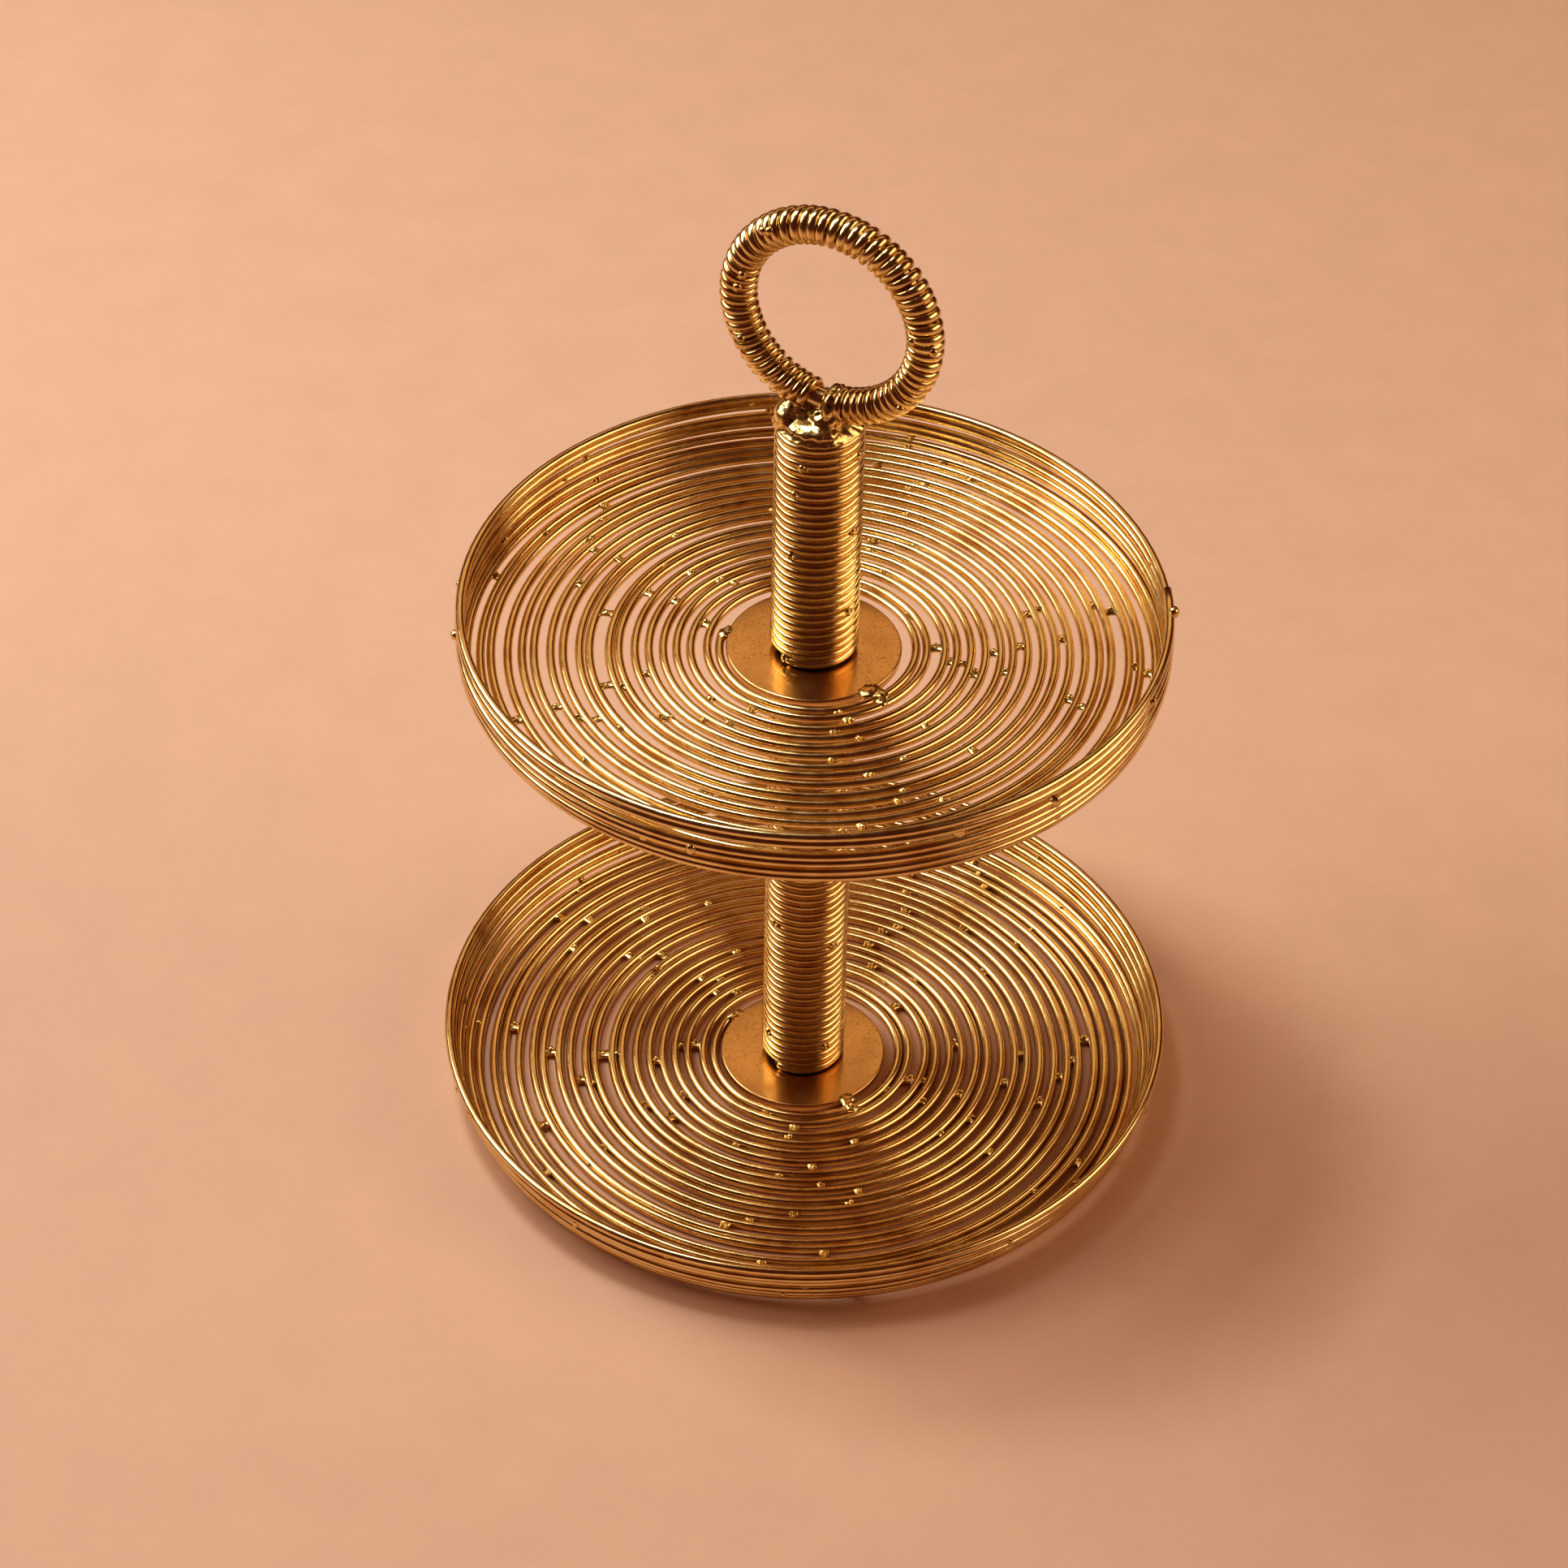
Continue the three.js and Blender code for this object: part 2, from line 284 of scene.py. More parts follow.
def lump_skin(centre, bulges, grain, depth, seed, steps=(72, 44)):
    """A melted lump, star-shaped round its centre: in each direction, the soft maximum of how far
    the ray runs inside each bulge, an ellipsoid of (centre, radii), and then fine ripples."""
    around, up = steps
    angle = np.arange(around) * TURN / around
    tilt = np.linspace(-0.5 * math.pi, 0.5 * math.pi, up + 2)[1:-1]
    ways = ball_ways(tilt, angle)
    middle = np.array(centre)
    sharpness = 9
    total = np.zeros(ways.shape[:2])
    for place, radii in bulges:
        way = ways / np.array(radii)
        start = (middle - np.array(place)) / np.array(radii)
        a = (way**2).sum(-1)
        b = (way * start).sum(-1)
        c = (start**2).sum() - 1
        inside = b**2 - a * c
        reach = np.where(inside > 0, (-b + np.sqrt(np.maximum(inside, 0))) / a, 0)
        total += np.maximum(reach, 0) ** sharpness
    reach = total ** (1 / sharpness)
    skin = middle + ways * reach[..., None]
    wrinkles = depth * ripples(skin.reshape(-1, 3), grain, seed).reshape(reach.shape)
    return closed_skin((skin + ways * wrinkles[..., None])[None])


# ---- materials ---------------------------------------------------------------------------------


def add_node(tree, kind, inputs=(), **settings):
    """Adds a node with its settings, sets or links its inputs, given by name or by place, and gives
    back its outputs."""
    made = tree.nodes.new(kind)
    for name, value in settings.items():
        setattr(made, name, value)
    for name, value in dict(inputs).items():
        if isinstance(value, bpy.types.NodeSocket):
            tree.links.new(value, made.inputs[name])
        else:
            made.inputs[name].default_value = value
    return made.outputs


def new_material(name):
    """An empty node material, its tree and its Object coordinates."""
    material = bpy.data.materials.new(name)
    material.use_nodes = True
    tree = material.node_tree
    tree.nodes.clear()
    return material, tree, add_node(tree, "ShaderNodeTexCoord")["Object"]


# A Map Range's inputs are, in order, its value, the two ends it comes from and the two it goes to.
# A Mix's colours are its inputs 6 and 7 and its output 2.


def pattern(place, feature_mm, detail=2.0):
    """A noise's inputs, for features of about one size in millimetres."""
    return {"Vector": place, "Scale": 1 / (feature_mm * MM), "Detail": detail, "Roughness": 0.55}


def lacquered_brass_wire(colours):
    """Drawn steel wire, brass plated and dipped in clear lacquer: a bright warm metal with a thin
    gloss skin, browner patches where the dip ran thin, and faint waves that fray highlights. The
    waves of the lacquer are under 1 mm long, too fine to show, and are drawn 7 mm long."""
    material, tree, place = new_material("lacquered_brass_wire")
    thin_dip = add_node(tree, "ShaderNodeTexNoise", pattern(place, 16))["Fac"]
    patches = add_node(tree, "ShaderNodeMapRange", enumerate((thin_dip, 0.44, 0.72, 0, 1)))["Result"]
    dust = add_node(tree, "ShaderNodeTexNoise", pattern(place, 4, 3))["Fac"]
    specks = add_node(tree, "ShaderNodeMapRange", enumerate((dust, 0.3, 0.7, 0, 1)))["Result"]
    waves = add_node(tree, "ShaderNodeTexNoise", pattern(place, 7, 1))["Fac"]
    relief = {"Height": waves, "Strength": 0.04, "Distance": 0.2 * MM}
    colour = {0: patches, 6: (*colours.gold, 1), 7: (*colours.tarnish, 1)}
    roughness = add_node(tree, "ShaderNodeMapRange", enumerate((specks, 0, 1, 0.27, 0.19)))
    surface = add_node(
        tree,
        "ShaderNodeBsdfPrincipled",
        {
            "Base Color": add_node(tree, "ShaderNodeMix", colour, data_type="RGBA")[2],
            "Metallic": 1.0,
            "Roughness": roughness["Result"],
            "Normal": add_node(tree, "ShaderNodeBump", relief)["Normal"],
            "Coat Weight": 0.25,
            "Coat Roughness": 0.12,
        },
    )
    add_node(tree, "ShaderNodeOutputMaterial", {"Surface": surface["BSDF"]})
    return material


def polished_brass_plate(colours):
    """Pressed steel disc, brass plated, buffed and lacquered: a soft mirror with tiny pits. Real
    pits are a few tenths of a millimetre, and are drawn 0.9 mm across so that they show."""
    material, tree, place = new_material("polished_brass_plate")
    dents = add_node(tree, "ShaderNodeTexNoise", pattern(place, 0.9))["Fac"]
    pits = add_node(tree, "ShaderNodeMapRange", enumerate((dents, 0.6, 0.72, 0, 1)))["Result"]
    buffing = add_node(tree, "ShaderNodeTexNoise", pattern(place, 14))["Fac"]
    relief = {"Height": pits, "Strength": 0.25, "Distance": -0.1 * MM}
    colour = {0: pits, 6: (*colours.plate, 1), 7: (*colours.tarnish, 1)}
    roughness = add_node(tree, "ShaderNodeMapRange", enumerate((buffing, 0.3, 0.7, 0.17, 0.27)))
    surface = add_node(
        tree,
        "ShaderNodeBsdfPrincipled",
        {
            "Base Color": add_node(tree, "ShaderNodeMix", colour, data_type="RGBA")[2],
            "Metallic": 1.0,
            "Roughness": roughness["Result"],
            "Normal": add_node(tree, "ShaderNodeBump", relief)["Normal"],
            "Coat Weight": 0.2,
            "Coat Roughness": 0.1,
        },
    )
    add_node(tree, "ShaderNodeOutputMaterial", {"Surface": surface["BSDF"]})
    return material


def melted_braze(colours):
    """Brass braze run in by torch and plated over: glossy, wrinkled where it froze, with burnt
    pits about 2 mm across."""
    material, tree, place = new_material("melted_braze")
    flux = add_node(tree, "ShaderNodeTexNoise", pattern(place, 1.8, 3))["Fac"]
    burnt = add_node(tree, "ShaderNodeMapRange", enumerate((flux, 0.58, 0.7, 0, 1)))["Result"]
    wrinkles = add_node(tree, "ShaderNodeTexNoise", pattern(place, 1.8, 3))["Fac"]
    relief = {"Height": wrinkles, "Strength": 0.35, "Distance": 0.5 * MM}
    colour = {0: burnt, 6: (*colours.braze, 1), 7: (*colours.scale, 1)}
    roughness = add_node(tree, "ShaderNodeMapRange", enumerate((burnt, 0, 1, 0.24, 0.45)))
    surface = add_node(
        tree,
        "ShaderNodeBsdfPrincipled",
        {
            "Base Color": add_node(tree, "ShaderNodeMix", colour, data_type="RGBA")[2],
            "Metallic": 1.0,
            "Roughness": roughness["Result"],
            "Normal": add_node(tree, "ShaderNodeBump", relief)["Normal"],
            "Coat Weight": 0.3,
            "Coat Roughness": 0.08,
        },
    )
    add_node(tree, "ShaderNodeOutputMaterial", {"Surface": surface["BSDF"]})
    return material


def turned_steel(colours):
    """Mild steel turned on a lathe and left bare: grey, with rings round the axis. Real tool marks
    are about 0.1 mm apart, and are drawn 0.4 mm apart so that they show."""
    material, tree, place = new_material("turned_steel")
    flattened = {"Vector": place, "Scale": (0.05, 0.05, 1)}
    along_axis = add_node(tree, "ShaderNodeMapping", flattened)["Vector"]
    marks = add_node(tree, "ShaderNodeTexNoise", pattern(along_axis, 0.4))["Fac"]
    relief = {"Height": marks, "Strength": 0.3, "Distance": 0.05 * MM}
    colour = {0: marks, 6: (*colours.steel, 1), 7: (*[0.6 * c for c in colours.steel], 1)}
    roughness = add_node(tree, "ShaderNodeMapRange", enumerate((marks, 0.3, 0.7, 0.3, 0.45)))
    surface = add_node(
        tree,
        "ShaderNodeBsdfPrincipled",
        {
            "Base Color": add_node(tree, "ShaderNodeMix", colour, data_type="RGBA")[2],
            "Metallic": 1.0,
            "Roughness": roughness["Result"],
            "Normal": add_node(tree, "ShaderNodeBump", relief)["Normal"],
        },
    )
    add_node(tree, "ShaderNodeOutputMaterial", {"Surface": surface["BSDF"]})
    return material


def matt_paper(colours):
    """Uncoated studio paper, pressed from pulp: no gloss, a faint mottle and a fine grain. Real
    grain is a few tenths of a millimetre, and is drawn 1.2 mm across so that it shows."""
    material, tree, place = new_material("matt_paper")
    pulp = add_node(tree, "ShaderNodeTexNoise", pattern(place, 30, 4))["Fac"]
    mottle = add_node(tree, "ShaderNodeMapRange", enumerate((pulp, 0.3, 0.7, 0, 1)))["Result"]
    grain = add_node(tree, "ShaderNodeTexNoise", pattern(place, 1.2, 3))["Fac"]
    relief = {"Height": grain, "Strength": 0.2, "Distance": 0.2 * MM}
    colour = {0: mottle, 6: (*colours.paper, 1), 7: (*[0.96 * c for c in colours.paper], 1)}
    surface = add_node(
        tree,
        "ShaderNodeBsdfPrincipled",
        {
            "Base Color": add_node(tree, "ShaderNodeMix", colour, data_type="RGBA")[2],
            "Roughness": 0.9,
            "Specular IOR Level": 0.2,
            "Normal": add_node(tree, "ShaderNodeBump", relief)["Normal"],
        },
    )
    add_node(tree, "ShaderNodeOutputMaterial", {"Surface": surface["BSDF"]})
    return material


def material_named(maker, context):
    """The material that a maker function makes, made once and shared by every piece."""
    ready = bpy.data.materials.get(maker.__name__)
    return ready or maker(context.scene.stand_colours)


# ---- the dish wire -----------------------------------------------------------------------------

SPIRAL_START = 29.9 * MM  # centre line of the first turn, just clear of the plate
SPLICE_GAP = 0.25 * MM
SAG = 0.12 * MM
# Each dish: the wire's first bearing in degrees, the turns to its splice, on its floor and on its
# wall, the wall's outline as the corners of a Bezier curve of radius and height, and a seed for
# all that differs by chance.
DISHES = {
    "lower": {
        "body": "base",
        "start": 144,
        "splice": 8.0,
        "floor": 18.3,
        "wall": 6.55,
        "outline_mm": [(111.8, 1.6), (116.1, 1.6), (117.3, 7), (121.6, 21.7)],
        "seed": 3,
    },
    "upper": {
        "body": "upper_dish",
        "start": 167,
        "splice": 6.15,
        "floor": 17.35,
        "wall": 6.2,
        "outline_mm": [(108, 1.6), (112.2, 1.6), (112.8, 8), (112, 21.3)],
        "seed": 8,
    },
}
# Hand winding leaves the turns unevenly spaced: waves of (size in mm, waves per turn, phase).
SPACING_WAVES = [(0.42, 0.46, 0.6), (0.3, 0.31, 1.9), (0.16, 1.43, 2.1), (0.07, 2.57, 0.4)]


def wall_outline(dish):
    """Distance along the wall's outline, with its radius and height there: the cubic Bezier curve
    (1-t)^3 a + 3(1-t)^2 t b + 3(1-t) t^2 c + t^3 d, measured in short chords."""
    t = np.linspace(0, 1, 200)[:, None]
    a, b, c, d = np.array(dish["outline_mm"]) * MM
    curve = (1 - t) ** 3 * a + 3 * (1 - t) ** 2 * t * b + 3 * (1 - t) * t**2 * c + t**3 * d
    distance = np.concatenate([[0], np.linalg.norm(np.diff(curve, axis=0), axis=1).cumsum()])
    return distance, curve


def dish_wire(level, turns):
    """Centre line of a dish's wire at the given turn counts, and its level outward direction. The
    wire's distance along the floor and up the wall grows evenly with the turn, plus the spacing
    waves; the floor is a straight line outward and the wall is its Bezier outline."""
    dish = DISHES[level]
    distance, curve = wall_outline(dish)
    floor_width = curve[0, 0] - SPIRAL_START
    last = dish["floor"] + dish["wall"]
    even = np.interp(turns, [0, dish["floor"], last], [0, floor_width, floor_width + distance[-1]])
    fade = np.clip(np.minimum(turns, last - turns), 0, 1)
    waves = sum(size * MM * np.sin(TURN * rate * turns + phase) for size, rate, phase in SPACING_WAVES)
    along = even + fade * waves
    on_wall = np.maximum(along - floor_width, 0)
    wall_radius = np.interp(on_wall, distance, curve[:, 0])
    radius = np.where(along < floor_width, SPIRAL_START + along, wall_radius)
    height = np.interp(on_wall, distance, curve[:, 1])
    sag = SAG * fade * (1 + np.sin(TURN * 0.83 * turns + dish["seed"]))
    outward = level_ways(math.radians(dish["start"]) + TURN * turns)
    base = low(f"{level}_hub_plate")[2]
    return outward * radius[:, None] + UP * (base + height + sag)[:, None], outward


def wire_length(level, first, last, sizes, steps_per_turn=110):
    """The skin of one length of dish wire between two turn counts, with rounded ends."""
    turns = np.linspace(first, last, int((last - first) * steps_per_turn))
    path, outward = dish_wire(level, turns)
    rings = tube_rings(*with_round_ends(path, outward, sizes.wire_radius), sizes.wire_sides)
    return closed_skin(rings[None])


class STAND_OT_dish_wires(bpy.types.Operator):
    """Winds the floor and wall wires of both dishes"""

    bl_idname = "stand.dish_wires"
    bl_label = "Dish wires"

    def execute(self, context):
        sizes = context.scene.stand_sizes
        brass = material_named(lacquered_brass_wire, context)
        for level, dish in DISHES.items():
            cut = SPLICE_GAP / (TURN * SPIRAL_START)
            last = dish["floor"] + dish["wall"]
            lengths = {
                "floor_spiral_inner": (0, dish["splice"] - 2 * cut),
                "floor_spiral_outer": (dish["splice"] + cut, dish["floor"]),
                "rim_coil": (dish["floor"], last),
            }
            for name, (first, end) in lengths.items():
                skin = wire_length(level, first, end, sizes)
                node = f"{level}_{name}"
                piece(f"{node}_wire", skin, brass, dish["body"], [node])
        return {"FINISHED"}


# ---- tacks of braze ----------------------------------------------------------------------------

# How the tacks of braze between turns of dish wire lie and how big they are.
TACK_FIRST_TURN = 0.35
TACK_JITTER = 0.07  # turns
TACK_SHORT_OF_RIM = 1.1  # turns
TACK_NECK_MM = (0.6, 0.85)
TACK_FLARE = 0.45 * MM
TACK_WIDENING = 2.2  # how much wider a neck is along the wire than it is high
BEAD_PROUD_MM = (0.5, 1.1)
BEAD_SHIFT_MM = 1.2
BEAD_RADII_MM = (0.6, 1.1)


def tack_rings(start, end, across, neck, flare):
    """Necks of braze from start to end points: oval rings along the line between them, widened
    across it. Their radius is the neck's at the middle, and grows by the flare times the square of
    the way to either end."""
    share = np.linspace(0, 1, 5)
    angle = np.arange(8) * TURN / 8
    line = start[:, None] + (end - start)[:, None] * share[None, :, None]
    along = unit(end - start)
    first = unit(across - (across * along).sum(1, keepdims=True) * along)
    second = np.cross(along, first)
    radius = neck[:, None] + flare * (2 * share[None] - 1) ** 2
    cosine, sine = np.cos(angle)[:, None], np.sin(angle)[:, None]
    wheel = TACK_WIDENING * cosine * first[:, None] + sine * second[:, None]
    return line[:, :, None] + radius[:, :, None, None] * wheel[:, None]


def bead_rings(centres, radii):
    """Small beads: rings of latitude of an ellipsoid at each centre, with radii along X, Y and Z."""
    tilt = np.linspace(-0.5 * math.pi, 0.5 * math.pi, 7)[1:-1]
    ball = ball_ways(tilt, np.arange(8) * TURN / 8)
    return centres[:, None, None] + radii[:, None, None] * ball[None]


def joined(*skins):
    """Several skins as one: the vertices end to end, and the faces counted on."""
    points, faces, count = [], [], 0
    for skin_points, skin_faces in skins:
        points.append(skin_points)
        faces += [[corner + count for corner in face] for face in skin_faces]
        count += len(skin_points)
    return np.concatenate(points), faces


def dish_tacks(level, sizes):
    """The tacks of one dish: at seeded turn counts, a neck from the wire to its next turn out, with
    a bright bead standing on each."""
    dish = DISHES[level]
    dice = np.random.default_rng(dish["seed"])
    last = dish["floor"] + dish["wall"] - TACK_SHORT_OF_RIM
    turns = np.arange(TACK_FIRST_TURN, last, sizes.tack_spacing)
    turns = turns + dice.uniform(-TACK_JITTER, TACK_JITTER, len(turns))
    inner, outward = dish_wire(level, turns)
    outer, _ = dish_wire(level, turns + 1)
    forward = np.cross(UP, outward)
    neck = dice.uniform(*TACK_NECK_MM, len(turns)) * MM
    necks = tack_rings(inner, outer, forward, neck, TACK_FLARE)
    above = np.cross(unit(outer - inner), forward)
    shift = dice.uniform(-BEAD_SHIFT_MM, BEAD_SHIFT_MM, (len(turns), 1)) * MM
    proud = dice.uniform(*BEAD_PROUD_MM, (len(turns), 1)) * MM
    centres = (inner + outer) / 2 + above * proud + forward * shift
    beads = bead_rings(centres, dice.uniform(*BEAD_RADII_MM, (len(turns), 3)) * MM)
    return joined(closed_skin(necks), closed_skin(beads))


# Drips of braze that ran down outside a wall: bearing in degrees and turns below the top. Their
# least and greatest radii are along X, Y and Z, and each stands outward and up from its wire.
DRIP_RADII_MM = [(1.2, 1.2, 1.3), (1.9, 1.9, 2.3)]
DRIP_SHIFT_MM = (1.2, 0.6)
DRIPS = {
    "lower": [(197, 2.4), (204, 1.2), (233, 3.1), (268, 4.3), (305, 2.2), (341, 1.4)],
    "upper": [(-1, 0.4), (176, 1.3), (186, 2.6), (252, 3.2), (311, 2.1), (338, 1.2)],
}


def wall_drips(level):
    """Beads on a wall's outside, each just outward of the wire at its bearing: the turn count is
    the one nearest to the wanted height at which the wire passes that bearing."""
    dish = DISHES[level]
    last = dish["floor"] + dish["wall"]
    bearing, below = np.array(DRIPS[level], float).T
    passing = (bearing - dish["start"]) / 360
    turns = np.round(last - below - passing) + passing
    path, outward = dish_wire(level, np.minimum(turns, last))
    dice = np.random.default_rng(dish["seed"] + 20)
    radii = dice.uniform(*DRIP_RADII_MM, (len(turns), 3)) * MM
    out, up = DRIP_SHIFT_MM
    return closed_skin(bead_rings(path + outward * out * MM + UP * up * MM, radii))


class STAND_OT_dish_tacks(bpy.types.Operator):
    """Tacks neighbouring turns of dish wire together with small beads of braze"""

    bl_idname = "stand.dish_tacks"
    bl_label = "Dish tacks"

    def execute(self, context):
        braze = material_named(melted_braze, context)
        for level, dish in DISHES.items():
            skin = joined(dish_tacks(level, context.scene.stand_sizes), wall_drips(level))
            piece(f"{level}_dish_tacks", skin, braze, dish["body"])
        return {"FINISHED"}


# ---- hub plates --------------------------------------------------------------------------------


PLATE_EDGE = 0.6 * MM


def plate_outline(level):
    """A disc with rounded rims, from the axis round to the axis: each rim is a quarter circle."""
    bottom = low(f"{level}_hub_plate")[2]
    top = high(f"{level}_hub_plate")[2]
    radius = high(f"{level}_hub_plate")[0]
    bend = np.linspace(0, math.pi / 2, 6)
    sine, cosine = PLATE_EDGE * np.sin(bend), PLATE_EDGE * np.cos(bend)
    corner = radius - PLATE_EDGE
    lower_rim = np.stack([corner + sine, bottom + PLATE_EDGE - cosine], 1)
    upper_rim = np.stack([corner + cosine, top - PLATE_EDGE + sine], 1)
    inner = [0.1 * MM, 0.5 * radius]
    floor = [(r, bottom) for r in inner]
    roof = [(r, top) for r in reversed(inner)]
    return [*floor, *lower_rim, *upper_rim, *roof]


class STAND_OT_hub_plates(bpy.types.Operator):
    """Turns the polished plate in the middle of each dish"""

    bl_idname = "stand.hub_plates"
    bl_label = "Hub plates"

    def execute(self, context):
        polished = material_named(polished_brass_plate, context)
        for level, dish in DISHES.items():
            node = f"{level}_hub_plate"
            skin = turned_skin(plate_outline(level))
            piece(f"{level}_hub_disc", skin, polished, dish["body"], [node])
        return {"FINISHED"}


# Where the first turns of wire are brazed to a plate: bearing in degrees, then bulges given as
# distance out, distance along and height in mm, and their three radii in mm.
HUB_BRAZE = {
    "lower": (
        -57,
        [
            ((28.6, 0, 2.6), (2.6, 3.0, 1.5)),
            ((31.5, -1.2, 2.3), (3.0, 1.8, 1.4)),
            ((34.6, 0.5, 2.3), (2.0, 1.6, 1.3)),
        ],
    ),
    "upper": (
        -50,
        [
            ((28.8, -0.6, 2.7), (3.2, 3.8, 1.6)),
            ((31.6, 1.4, 2.4), (3.2, 2.2, 1.6)),
            ((34.8, -0.8, 2.4), (2.6, 1.9, 1.5)),
        ],
    ),
}
# Where the wire's own first end is brazed, as bulges given in the same way.
HUB_START_BRAZE = [((28.3, -1.5, 2.4), (1.6, 2.6, 1.3)), ((29.2, 1.0, 2.4), (1.5, 2.0, 1.4))]
HUB_START_SHIFT = 3  # degrees past the wire's end
HUB_GRAIN = 2.4 * MM
HUB_WRINKLE = 0.35 * MM


def hub_lump(level, bearing, bulges_mm, seed):
    """A lump beside the plate: bulges given outward and along the edge, turned to their bearing."""
    turn = np.array(Matrix.Rotation(math.radians(bearing), 3, "Z"))
    base = UP * low(f"{level}_hub_plate")[2]
    places = [np.array(place) * MM for place, _ in bulges_mm]
    centre = np.mean(places, axis=0)
    bulges = [(place, np.array(radii) * MM) for place, (_, radii) in zip(places, bulges_mm)]
    points, faces = lump_skin(centre, bulges, HUB_GRAIN, HUB_WRINKLE, seed, steps=(40, 24))
    return points @ turn.T + base, faces


class STAND_OT_hub_braze(bpy.types.Operator):
    """Brazes the first turns of wire to each hub plate"""

    bl_idname = "stand.hub_braze"
    bl_label = "Hub braze"

    def execute(self, context):
        braze = material_named(melted_braze, context)
        for level, dish in DISHES.items():
            bearing, bulges = HUB_BRAZE[level]
            main = hub_lump(level, bearing, bulges, dish["seed"])
            start_bearing = dish["start"] + HUB_START_SHIFT
            start = hub_lump(level, start_bearing, HUB_START_BRAZE, dish["seed"] + 1)
            node = f"{level}_hub_braze"
            piece(f"{level}_hub_lumps", joined(main, start), braze, dish["body"], [node])
        return {"FINISHED"}


# ---- posts -------------------------------------------------------------------------------------

# Tacks on each post's wrap: (height above the wrap's foot in mm, bearing in degrees).
POST_TACKS = {
    "lower": [
        (164, -133), (161, -65), (118, -160), (115, -62),
        (66, -140), (58, -50), (14, -150), (12, -58),
    ],
    "upper": [(68, -122), (80, -28), (52, -36), (44, -126), (20.5, -41), (79, -112), (2.4, -132)],
}
POST_TACK_DEPTH = 0.5 * MM
POST_TACK_RADII_MM = (1.3, 1.3, 1.7)
POST_BEAD_RADII_MM = (0.8, 0.8, 0.8)
POST_BEAD_SHIFT_MM = (1.5, 0.3)  # round the post and outward from its tack
POST_START = -128  # bearing of the wire's lower end in degrees
POST_BUNCHING = 0.1 * MM
POST_WANDER = 0.06 * MM


def post_wrap_path(node, sizes, steps_per_turn=60):
    """Centre line of the wire round a post: a right-handed helix of one wire's width each turn,
    with a slow wave in its height as the hand-laid turns bunch and open."""
    wire = sizes.wire_radius
    radius = high(node)[0] - wire
    bottom = low(node)[2] + wire
    top = high(node)[2] - wire
    turns = (top - bottom) / (2 * wire)
    turn = np.linspace(0, turns, int(turns * steps_per_turn))
    fade = np.clip(np.minimum(turn, turns - turn), 0, 1)
    bunching = POST_BUNCHING * fade * np.sin(TURN * 0.29 * turn)
    height = bottom + (top - bottom) * turn / turns + bunching
    wander = radius + POST_WANDER * fade * np.sin(TURN * 0.61 * turn)
    outward = level_ways(math.radians(POST_START) + TURN * turn)
    return outward * wander[:, None] + UP * height[:, None], outward


def post_tacks(level, node):
    """Each tack is a flat bead that bridges two turns, with a smaller bright bead beside it."""
    above, bearing = np.array(POST_TACKS[level], float).T
    outward = level_ways(np.radians(bearing))
    height = low(node)[2] + above * MM
    place = outward * (high(node)[0] - POST_TACK_DEPTH) + UP * height[:, None]
    big = np.tile(POST_TACK_RADII_MM, (len(above), 1)) * MM
    small = np.tile(POST_BEAD_RADII_MM, (len(above), 1)) * MM
    round_post, out = POST_BEAD_SHIFT_MM
    beside = np.cross(UP, outward) * round_post * MM + outward * out * MM
    return joined(closed_skin(bead_rings(place, big)), closed_skin(bead_rings(place + beside, small)))


class STAND_OT_post_wraps(bpy.types.Operator):
    """Wraps wire round both posts and tacks it"""

    bl_idname = "stand.post_wraps"
    bl_label = "Post wraps"

    def execute(self, context):
        sizes = context.scene.stand_sizes
        brass = material_named(lacquered_brass_wire, context)
        braze = material_named(melted_braze, context)
        for level, body in (("lower", "lower_post"), ("upper", "handle")):
            node = f"{level}_post_coil"
            path, outward = post_wrap_path(node, sizes)
            rings = tube_rings(*with_round_ends(path, outward, sizes.wire_radius), sizes.wire_sides)
            piece(f"{level}_post_wrap", closed_skin(rings[None]), brass, body, [node])
            piece(f"{level}_post_tacks", post_tacks(level, node), braze, body)
        return {"FINISHED"}


# ---- carrying ring -----------------------------------------------------------------------------

RING_TURN = math.radians(-26)  # bearing of the ring's own plane
RING_BAR_RADIUS = 3.6 * MM
RING_BAR_STEPS = 120
RING_GAP = math.radians(16)  # left bare at the bottom, inside the handle's braze
RING_TURNS = 61
RING_WIRE_SIDES = 10
RING_SPACING_WAVE = 0.0022  # share of the whole winding
RING_WIRE_GAP = 1.04  # the pitch over the width of the flattened wire
RING_FIRST_LEAN = 0.6


def ring_middle():
    """Centre of the carrying ring, from its bar's box, and its two directions: along and up."""
    middle = (low("handle_ring_core") + high("handle_ring_core")) / 2
    along = np.array([math.cos(RING_TURN), math.sin(RING_TURN), 0])
    return middle, along, UP


def ring_sizes():
    """Radius of the ring's centre line, of its bar and of the whole ring over its winding."""
    reach = (high("handle_ring_core") - low("handle_ring_core"))[2] / 2
    outer = high("handle_ring_winding")[2] - ring_middle()[0][2]
    return reach - RING_BAR_RADIUS, RING_BAR_RADIUS, outer


def ring_point(angle):
    """Points of the ring's centre line at angles from its right-hand side, and their directions
    away from the ring's centre."""
    middle, along, up = ring_middle()
    away = np.cos(angle)[:, None] * along + np.sin(angle)[:, None] * up
    return middle + ring_sizes()[0] * away, away


